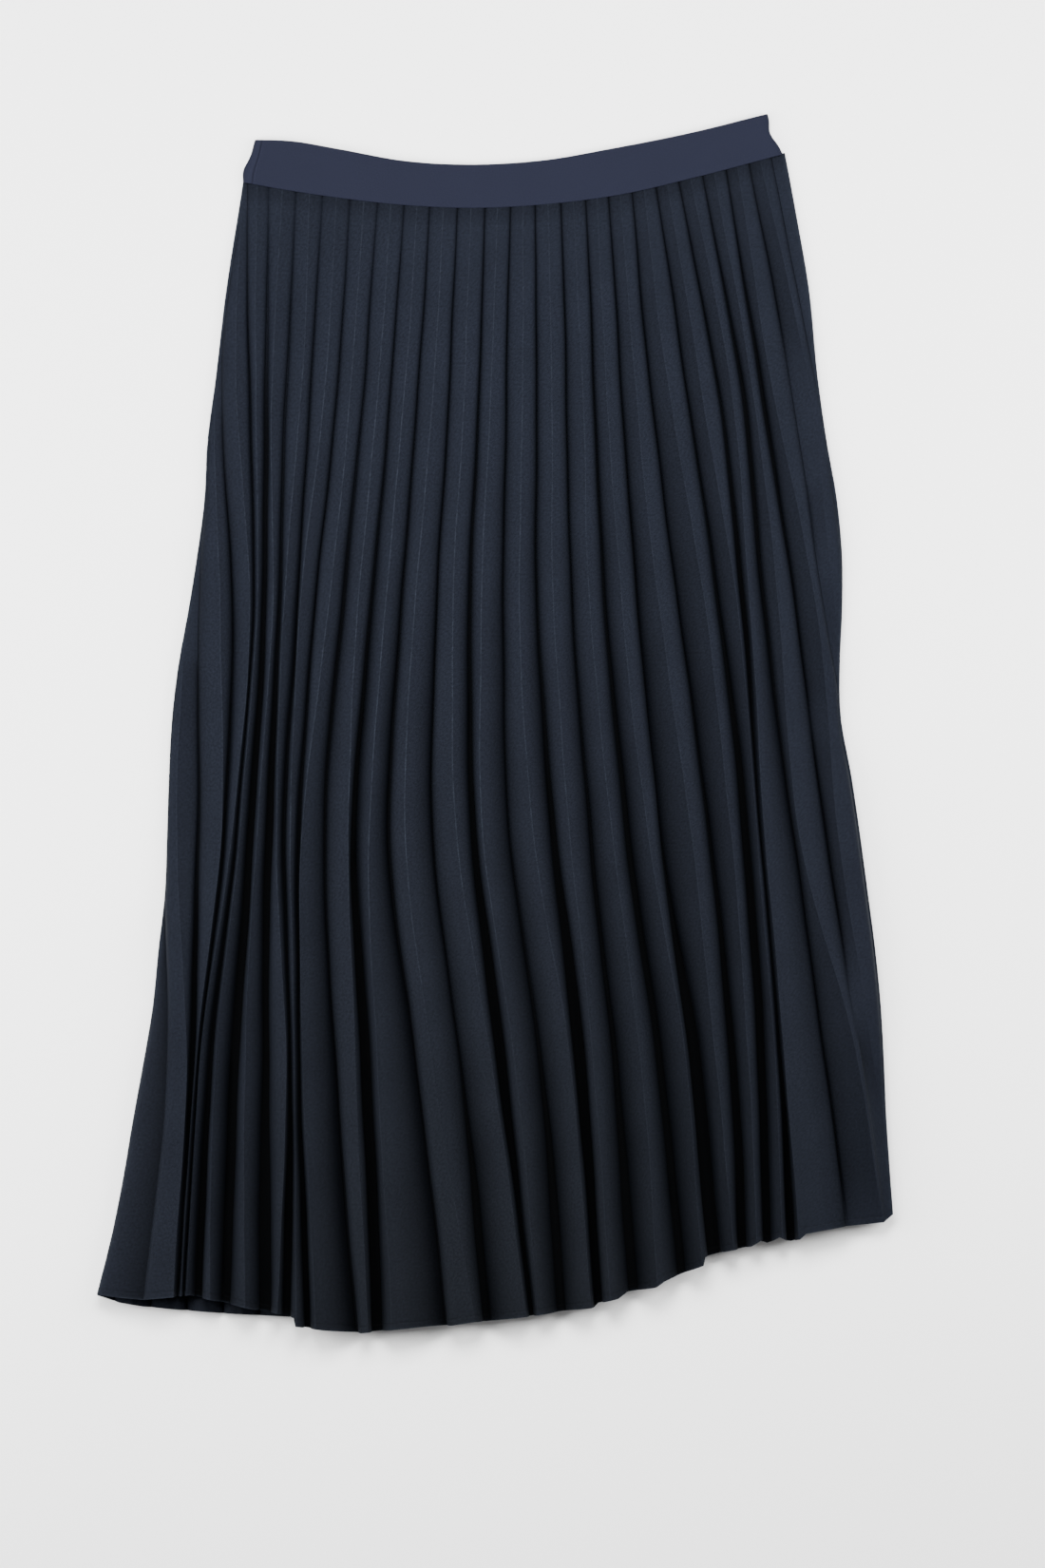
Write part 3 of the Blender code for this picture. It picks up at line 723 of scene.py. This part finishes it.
# Navy of the cloth, then painted colours: darker, greyer shade towards the hem, the highlight on
# the crests, and the shade deep in the folds
CLOTH_NAVY = (0.0055, 0.0066, 0.0104)
HEM_SHADE_NAVY = (0.0048, 0.0056, 0.0075)
CREST_HIGHLIGHT_NAVY = (0.0120, 0.0146, 0.0205)
FOLD_SHADE_NAVY = (0.0003, 0.0004, 0.0006)


def pleated_cloth():
    """Matt navy cloth with painted light: a highlight on each crest, shade deep in the folds, and
    darker, greyer shade towards the hem.
    """
    paint = bpy.data.materials.new("pleated cloth")
    paint.use_nodes = True
    nodes = paint.node_tree.nodes
    link = paint.node_tree.links.new
    shader = nodes["Principled BSDF"]
    shader.inputs["Roughness"].default_value = 0.75
    shader.inputs["Specular IOR Level"].default_value = 0.02
    shader.inputs["Sheen Weight"].default_value = 0.006
    shader.inputs["Sheen Roughness"].default_value = 0.5
    shader.inputs["Sheen Tint"].default_value = (0.55, 0.65, 0.85, 1.0)
    crest = nodes.new("ShaderNodeAttribute")
    crest.attribute_name = "crest"
    # Painted shade towards the hem: the down mark mixes in a darker, greyer navy
    down = nodes.new("ShaderNodeAttribute")
    down.attribute_name = "down"
    cloth = nodes.new("ShaderNodeMix")
    cloth.data_type = "RGBA"
    cloth.inputs["A"].default_value = (*CLOTH_NAVY, 1.0)
    cloth.inputs["B"].default_value = (*HEM_SHADE_NAVY, 1.0)
    link(down.outputs["Fac"], cloth.inputs["Factor"])
    # Painted shade in the folds, under the elastic and in the gathers: mixes in the near-black navy
    painted_shade = nodes.new("ShaderNodeAttribute")
    painted_shade.attribute_name = "painted_shade"
    painted_fold_shade = nodes.new("ShaderNodeMix")
    painted_fold_shade.data_type = "RGBA"
    link(cloth.outputs["Result"], painted_fold_shade.inputs["A"])
    painted_fold_shade.inputs["B"].default_value = (*FOLD_SHADE_NAVY, 1.0)
    link(painted_shade.outputs["Fac"], painted_fold_shade.inputs["Factor"])
    # Painted highlight on each crest, broken up by a noise
    edge = nodes.new("ShaderNodeMix")
    edge.data_type = "RGBA"
    edge.inputs["B"].default_value = (*CREST_HIGHLIGHT_NAVY, 1.0)
    worn = nodes.new("ShaderNodeUVMap")
    worn.uv_map = "cloth"
    broken = nodes.new("ShaderNodeTexNoise")
    broken.inputs["Scale"].default_value = 120.0
    broken.inputs["Detail"].default_value = 3.0
    link(worn.outputs["UV"], broken.inputs["Vector"])
    uneven = nodes.new("ShaderNodeMapRange")
    uneven.inputs["From Min"].default_value = 0.35
    uneven.inputs["From Max"].default_value = 0.62
    uneven.inputs["To Min"].default_value = 0.25
    link(broken.outputs["Fac"], uneven.inputs["Value"])
    crest_highlight = nodes.new("ShaderNodeMath")
    crest_highlight.operation = "MULTIPLY"
    link(crest.outputs["Fac"], crest_highlight.inputs[0])
    link(uneven.outputs["Result"], crest_highlight.inputs[1])
    link(crest_highlight.outputs[0], edge.inputs["Factor"])
    link(painted_fold_shade.outputs["Result"], edge.inputs["A"])
    grain = nodes.new("ShaderNodeGroup")
    grain.node_tree = GRAIN
    grain.inputs["Threads"].default_value = 600.0
    shade = nodes.new("ShaderNodeVectorMath")
    shade.operation = "SCALE"
    link(edge.outputs["Result"], shade.inputs[0])
    link(grain.outputs["Shade"], shade.inputs["Scale"])
    link(shade.outputs["Vector"], shader.inputs["Base Color"])
    bump = nodes.new("ShaderNodeBump")
    bump.inputs["Strength"].default_value = 0.33
    bump.inputs["Distance"].default_value = 0.0002
    link(grain.outputs["Height"], bump.inputs["Height"])
    link(bump.outputs["Normal"], shader.inputs["Normal"])
    return paint


PLEATED_CLOTH = pleated_cloth()
FRONT_ROWS = 62
# The sides come down to meet the back's: how far, and within what; and how far
# in from them the handling starts
EDGE_DROP, EDGE_WIDE = 0.7, 3.0
HANDLED_FROM = 12.0
# Height of a pressed crest
CREST_HIGH = 0.12
# Painted shadow line under the elastic at the seam, and its width; and the gathers' share of
# painted shade on a lit face
SEAM_DARK, SEAM_LINE = 0.3, 0.8
GATHER_LIT = 0.3
# Where the painted highlight on the crests is palest: the middle and reach across, the level
# they fade out at and over what, and what is left at the seam and elsewhere
CREST_MIDDLE, CREST_REACH = -60.0, 130.0
CREST_ENDS, CREST_FADE = -240.0, 180.0
CREST_AT_SEAM, CREST_LEAST = 0.4, 0.12
# Painted highlight along the edge of the hem and along the rim of both sides: strength and width
HEM_PALE, HEM_WIDE = 0.7, 0.5
RIM_PALE, RIM_WIDE = 0.8, 1.2

x, y, z, crest, painted_shade = bowed_faces(*front_folds(FRONT_ROWS))
y = follow_hem(x, y, FRONT_HEM)
up = y - y[:, -1:]
below = below_seam(x, y)
inward = np.minimum(x - x[:1], x[-1:] - x)
gathered = gathers(x, y)
at_side = np.exp(-inward / EDGE_WIDE)
z = z + turned_hem(up) * (1.0 - at_side) - EDGE_DROP * at_side
z = z + CREST_HIGH * crest + handled(x, y) * ease(inward / HANDLED_FROM) - GATHER_DEEP * gathered

# Painted shade added to the folds': a shadow line just under the elastic, shade in the gathers, and
# the darker stitch line
seam_shadow = SEAM_DARK * np.exp(-np.maximum(below, 0.0) / SEAM_LINE)
stitch_line = STITCH_DARK * np.exp(-((up - STITCH_UP) / STITCH_WIDE) ** 2)
gathered = GATHER_DARK * gathered * (GATHER_LIT + (1.0 - GATHER_LIT) * painted_shade)
painted_shade = 1.0 - (1.0 - painted_shade) * (1.0 - gathered) * (1.0 - seam_shadow) * (1.0 - stitch_line)

# Painted highlight on the crests, palest in the middle, and along the hem's edge and both sides
crest_highlight = np.exp(-((x - CREST_MIDDLE) / CREST_REACH) ** 2) * ease((y - CREST_ENDS) / CREST_FADE)
crest_highlight = crest_highlight * (CREST_AT_SEAM + (1.0 - CREST_AT_SEAM) * ease(below / GAP_OPENS))
crest = crest * (CREST_LEAST + (1.0 - CREST_LEAST) * crest_highlight)
crest = np.maximum(crest, HEM_PALE * np.exp(-up / HEM_WIDE))
crest = np.maximum(crest, RIM_PALE * np.exp(-inward / RIM_WIDE))

front_marks = {"crest": (crest, crest), "painted_shade": (painted_shade, painted_shade)}
front = cloth_wall("front_pleats", x, y, z + CLOTH / 2, CLOTH, front_marks)
front.data.materials.append(PLEATED_CLOTH)
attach(front, "root")
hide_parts("skirt_front")


# Back panel. The same cloth and pleats, underneath: its lower folds are
# pressed flat on the ground by the weight of the front.

BACK_PLEATS = 22
BACK_ROWS = 44
BACK_ROUNDING = 0.5
# How far the cloth lies below the middle of the plain solid's wall
BACK_LOWER = 0.2
# Painted shade inside the skirt, and how far up from the hem it starts and is full;
# then what is left of the painted fold shade and of the painted crest highlight on its outer side
IN_SHADE, SHADE_FROM, SHADE_OVER = 0.5, 6.0, 30.0
UNDER_DARK, UNDER_CREST = 0.5, 0.3


def back_folds(rows):
    """Knots of the back's zigzag: even folds between the two sides, up and down in turn.

    It gives back what front_folds does, with no dark gaps and all folds open.
    """
    count = 2 * BACK_PLEATS + 1
    part = np.linspace(0.0, 1.0, count)
    start = WAIST_LEFT + GAP + part * (WAIST_RIGHT - WAIST_LEFT - 2 * GAP)
    end = HEM_LEFT + GAP + part * (HEM_RIGHT - HEM_LEFT - 2 * GAP)
    top = seam_y(start) + TUCK
    ys = row_y(top, hem_y(end, BACK_HEM), rows)
    left = side_x(ys, 1) + GAP
    right = side_x(ys, 2) - GAP
    xs = left + part[:, None] * (right - left)
    below = below_seam(xs, ys)
    up = np.zeros((count, 1))
    up[::2] = 1.0
    zs = CLOTH_SOLID / 2 + up * under_height(below, ys)
    weight = np.broadcast_to(up, xs.shape)
    soft = np.full((2, *xs.shape), BACK_ROUNDING)
    return xs, ys, zs, weight, np.zeros_like(xs), np.ones_like(xs), soft


x, y, z, crest, painted_shade = bowed_faces(*back_folds(BACK_ROWS))
y = follow_hem(x, y, BACK_HEM)
# Its upper face is the inside of the skirt, in the front's shade but for its hem
inside = IN_SHADE * ease((y - y[:, -1:] - SHADE_FROM) / SHADE_OVER)
back_marks = {"crest": (0.0 * crest, UNDER_CREST * crest), "painted_shade": (inside, UNDER_DARK * painted_shade)}
back = cloth_wall("back_pleats", x, y, z + CLOTH / 2 - BACK_LOWER, CLOTH, back_marks)
back.data.materials.append(PLEATED_CLOTH)
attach(back, "root")
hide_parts("skirt_back")


# Waistband. A loop of 30 mm covered elastic, smooth and a little bluer than
# the cloth, sewn to the pleats along its lower edge and pressed flat.

# Height of the elastic, its wall, the space inside its loop, and its corners' radius
BAND_TALL = 30.0
BAND_WALL, BAND_INSIDE = 1.8, 2.2
BAND_CORNER = 0.6
BAND_NAVY = (0.0086, 0.0096, 0.0179)
# Columns round the loop, rows up the wall, and rows round each of its corners
BAND_AROUND, BAND_UP, BAND_TURN = 420, 22, 4
# Where the elastic's two ends overlap and are joined, from its left fold, how
# much thicker it is up to there and over what that ends, and the groove's
# depth and width
JOIN_AT, JOIN_RISE, JOIN_EDGE = 6.6, 0.25, 0.8
JOIN_GROOVE, JOIN_WIDE = 0.2, 0.4
# Columns added there: from where, how far past the join, and how many
JOIN_FROM, JOIN_PAST, JOIN_COLUMNS = 0.3, 2.0, 24
# How the folds at its two ends bend out of line: which end, how far, at what
# share of the height, and over what share; and how far along the band that lasts
END_BENDS = ((0, -2.7, 0.28, 0.24), (1, -3.4, 0.52, 0.26))
BEND_ALONG = 6.0


def wall_section():
    """Section of the elastic, all round: height up it, and distance out from its middle.

    It is a rectangle whose four corners are quarter circles.
    """
    corner = np.linspace(0.0, np.pi / 2, BAND_TURN)
    sine = BAND_CORNER * np.sin(corner)
    cosine = BAND_CORNER * np.cos(corner)
    half = BAND_WALL / 2
    side = half - BAND_CORNER
    high = BAND_TALL - BAND_CORNER
    flat = np.linspace(BAND_CORNER, high, BAND_UP)
    up = [flat, high + sine[1:], high + cosine,
          flat[::-1], BAND_CORNER - sine[1:], BAND_CORNER - cosine]
    out = [np.full(BAND_UP, half), side + cosine[1:], -side - sine,
           np.full(BAND_UP, -half), -side - cosine[1:], side + sine]
    return np.concatenate(up), np.concatenate(out)


def band_loop():
    """Flattened loop of elastic as a grid: round the loop, and round the wall's own section.

    The loop is two straight runs joined by half circles. A spot is the seam
    line's point, moved up towards the top line by its share of the height.
    """
    radius = (BAND_INSIDE + BAND_WALL) / 2
    seam = BAND[:, :2]
    top = BAND[:, 2:]
    along = np.concatenate([[0.0], np.cumsum(np.hypot(*np.diff(seam, axis=0).T))])
    first = radius + BAND_WALL / 2
    last = along[-1] - first
    run = last - first
    bend = np.pi * radius
    loop = np.linspace(0.0, 2 * (run + bend), BAND_AROUND, endpoint=False)
    at_join = np.linspace(JOIN_FROM, JOIN_AT + JOIN_PAST, JOIN_COLUMNS)
    loop = np.sort(np.concatenate([loop, at_join]))
    turn_a = np.clip((loop - run) / bend, 0.0, 1.0)
    turn_b = np.clip((loop - 2 * run - bend) / bend, 0.0, 1.0)
    angle = np.pi / 2 - np.pi * (turn_a + turn_b)
    ahead = np.clip(loop, 0.0, run) - np.clip(loop - run - bend, 0.0, run)
    centre_s = first + ahead
    out_s = np.cos(angle)
    out_z = np.sin(angle)
    middle = BAND_WALL + BAND_INSIDE / 2
    up, outs = wall_section()
    shares = up / BAND_TALL
    s = centre_s[:, None] + out_s[:, None] * (radius + outs)
    laid_over = JOIN_RISE * (1.0 - ease((s - JOIN_AT + JOIN_EDGE) / JOIN_EDGE))
    laid_over = laid_over - JOIN_GROOVE * np.exp(-((s - JOIN_AT) / JOIN_WIDE) ** 2)
    on_top = np.maximum(out_z, 0.0)[:, None] * (outs > 0.0)
    z = middle + out_z[:, None] * (radius + outs) + on_top * laid_over
    low = [curve(along, seam[:, 0], s), curve(along, seam[:, 1], s)]
    high = [curve(along, top[:, 0], s), curve(along, top[:, 1], s)]
    x = low[0] + (high[0] - low[0]) * shares
    y = low[1] + (high[1] - low[1]) * shares
    for end, reach, height, spread in END_BENDS:
        near = np.exp(-np.abs(s - end * along[-1]) / BEND_ALONG)
        x = x + reach * near * np.exp(-((shares - height) / spread) ** 2)
    return x, y, z, s, np.broadcast_to(up, s.shape)


def ring_mesh(name, x, y, z, s, up):
    """Grid closed both ways, like a ring, with its UV map in metres along and up the band."""
    index = np.arange(x.size).reshape(x.shape)
    right = np.roll(index, -1, axis=0)
    above, across = np.roll(index, -1, axis=1), np.roll(right, -1, axis=1)
    quads = np.stack([index, right, across, above], axis=-1)
    points = np.stack([x, y, z], axis=-1).reshape(-1, 3)
    flat = np.stack([s, up], axis=-1).reshape(-1, 2)
    return in_scene(name, cloth_mesh(name, points, quads.reshape(-1, 4), flat))


# Tone across the join: share of twice the distance to it, and how pale. The
# two ends come first, as the ramp has them already
JOIN_TONES = ((0.0, 0.92), (1.0, 0.86),
              (0.38, 0.98), (0.43, 0.72), (0.49, 0.70), (0.54, 1.0), (0.6, 0.86))


def covered_elastic():
    """Smooth matt elastic: a fine grain, a little unevenness, and a change of tone across the join.
    """
    paint = bpy.data.materials.new("covered elastic")
    paint.use_nodes = True
    nodes = paint.node_tree.nodes
    link = paint.node_tree.links.new
    shader = nodes["Principled BSDF"]
    shader.inputs["Roughness"].default_value = 0.75
    shader.inputs["Specular IOR Level"].default_value = 0.03
    shader.inputs["Sheen Weight"].default_value = 0.01
    shader.inputs["Sheen Roughness"].default_value = 0.5
    shader.inputs["Sheen Tint"].default_value = (0.6, 0.65, 0.9, 1.0)
    grain = nodes.new("ShaderNodeGroup")
    grain.node_tree = GRAIN
    grain.inputs["Threads"].default_value = 1500.0
    grain.inputs["Uneven"].default_value = 0.12
    place = nodes.new("ShaderNodeUVMap")
    place.uv_map = "cloth"
    split = nodes.new("ShaderNodeSeparateXYZ")
    link(place.outputs["UV"], split.inputs["Vector"])
    join = nodes.new("ShaderNodeValToRGB")
    stops = join.color_ramp.elements
    scaled = nodes.new("ShaderNodeMath")
    scaled.operation = "DIVIDE"
    scaled.inputs[1].default_value = 2.0 * JOIN_AT * MM
    link(split.outputs["X"], scaled.inputs[0])
    link(scaled.outputs[0], join.inputs["Fac"])
    for stop, (at, tone) in enumerate(JOIN_TONES):
        spot = stops[stop] if stop < 2 else stops.new(at)
        spot.position = at
        spot.color = (tone, tone, tone, 1.0)
    thread = nodes.new("ShaderNodeMath")
    thread.operation = "MULTIPLY"
    link(join.outputs["Color"], thread.inputs[0])
    link(grain.outputs["Shade"], thread.inputs[1])
    shade = nodes.new("ShaderNodeVectorMath")
    shade.operation = "SCALE"
    shade.inputs[0].default_value = BAND_NAVY
    link(thread.outputs[0], shade.inputs["Scale"])
    link(shade.outputs["Vector"], shader.inputs["Base Color"])
    bump = nodes.new("ShaderNodeBump")
    bump.inputs["Strength"].default_value = 0.2
    bump.inputs["Distance"].default_value = 0.0002
    link(grain.outputs["Height"], bump.inputs["Height"])
    link(bump.outputs["Normal"], shader.inputs["Normal"])
    return paint


band = ring_mesh("waistband_elastic", *band_loop())
band.data.materials.append(covered_elastic())
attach(band, "root")
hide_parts("waistband")


# Ground and light. A plain pale floor under the skirt, a soft light from each
# side and one from beyond the waist, and a long lens straight above.

FLOOR_WHITE = (0.93, 0.93, 0.93)
# Half the floor's width, and its level just below the ground, in metres
FLOOR_REACH, FLOOR_LEVEL = 3.0, -0.0002


def pale_floor():
    """Flat square of pale matt board under the skirt."""
    mesh = bpy.data.meshes.new("floor")
    corners = [(a * FLOOR_REACH, b * FLOOR_REACH, FLOOR_LEVEL)
               for a, b in ((-1, -1), (1, -1), (1, 1), (-1, 1))]
    mesh.from_pydata(corners, [], [(0, 1, 2, 3)])
    paint = bpy.data.materials.new("pale board")
    paint.use_nodes = True
    shader = paint.node_tree.nodes["Principled BSDF"]
    shader.inputs["Base Color"].default_value = (*FLOOR_WHITE, 1.0)
    shader.inputs["Roughness"].default_value = 0.9
    mesh.materials.append(paint)
    return in_scene("floor", mesh)


def soft_light(name, spot, aim, size, power):
    """Area light at a spot in metres, turned to face its aim."""
    lamp = bpy.data.lights.new(name, "AREA")
    lamp.shape = "RECTANGLE"
    lamp.size, lamp.size_y = size
    lamp.energy = power
    thing = in_scene(name, lamp)
    thing.location = spot
    thing.visible_camera = False
    thing.rotation_euler = (Vector(aim) - Vector(spot)).to_track_quat("-Z", "Y").to_euler()
    return thing


pale_floor()
soft_light("left_light", (-1.0, -0.1, 0.8), (-0.15, -0.1, 0.0), (0.6, 1.2), 36.0)
soft_light("right_light", (1.0, 0.15, 0.8), (0.15, 0.0, 0.0), (0.6, 1.2), 32.0)
soft_light("top_light", (-0.15, 0.95, 1.75), (-0.03, 0.3, 0.0), (1.2, 0.8), 101.0)

world = bpy.data.worlds.new("studio")
world.use_nodes = True
world.node_tree.nodes["Background"].inputs["Color"].default_value = (1.0, 1.0, 1.0, 1.0)
world.node_tree.nodes["Background"].inputs["Strength"].default_value = 0.25
bpy.context.scene.world = world

# The picture is 1100 by 1650, two thirds of a millimetre to a pixel. The
# camera looks straight down: where its middle is, how high it stands above the
# ground, and the level that the picture's scale holds at, in metres
PIXEL = 2.0 / 3.0
VIEW_TALL = 1650 * PIXEL * MM
VIEW_X, VIEW_Y = 0.0192, -0.0430
CAMERA_HIGH, SKIRT_HIGH = 8.0, 0.014
SENSOR = 36.0

lens = bpy.data.cameras.new("camera")
lens.sensor_fit = "VERTICAL"
lens.sensor_height = SENSOR
lens.lens = SENSOR * (CAMERA_HIGH - SKIRT_HIGH) / VIEW_TALL
lens.clip_end = 50.0
camera = in_scene("camera", lens)
camera.location = (VIEW_X, VIEW_Y, CAMERA_HIGH)
bpy.context.scene.camera = camera
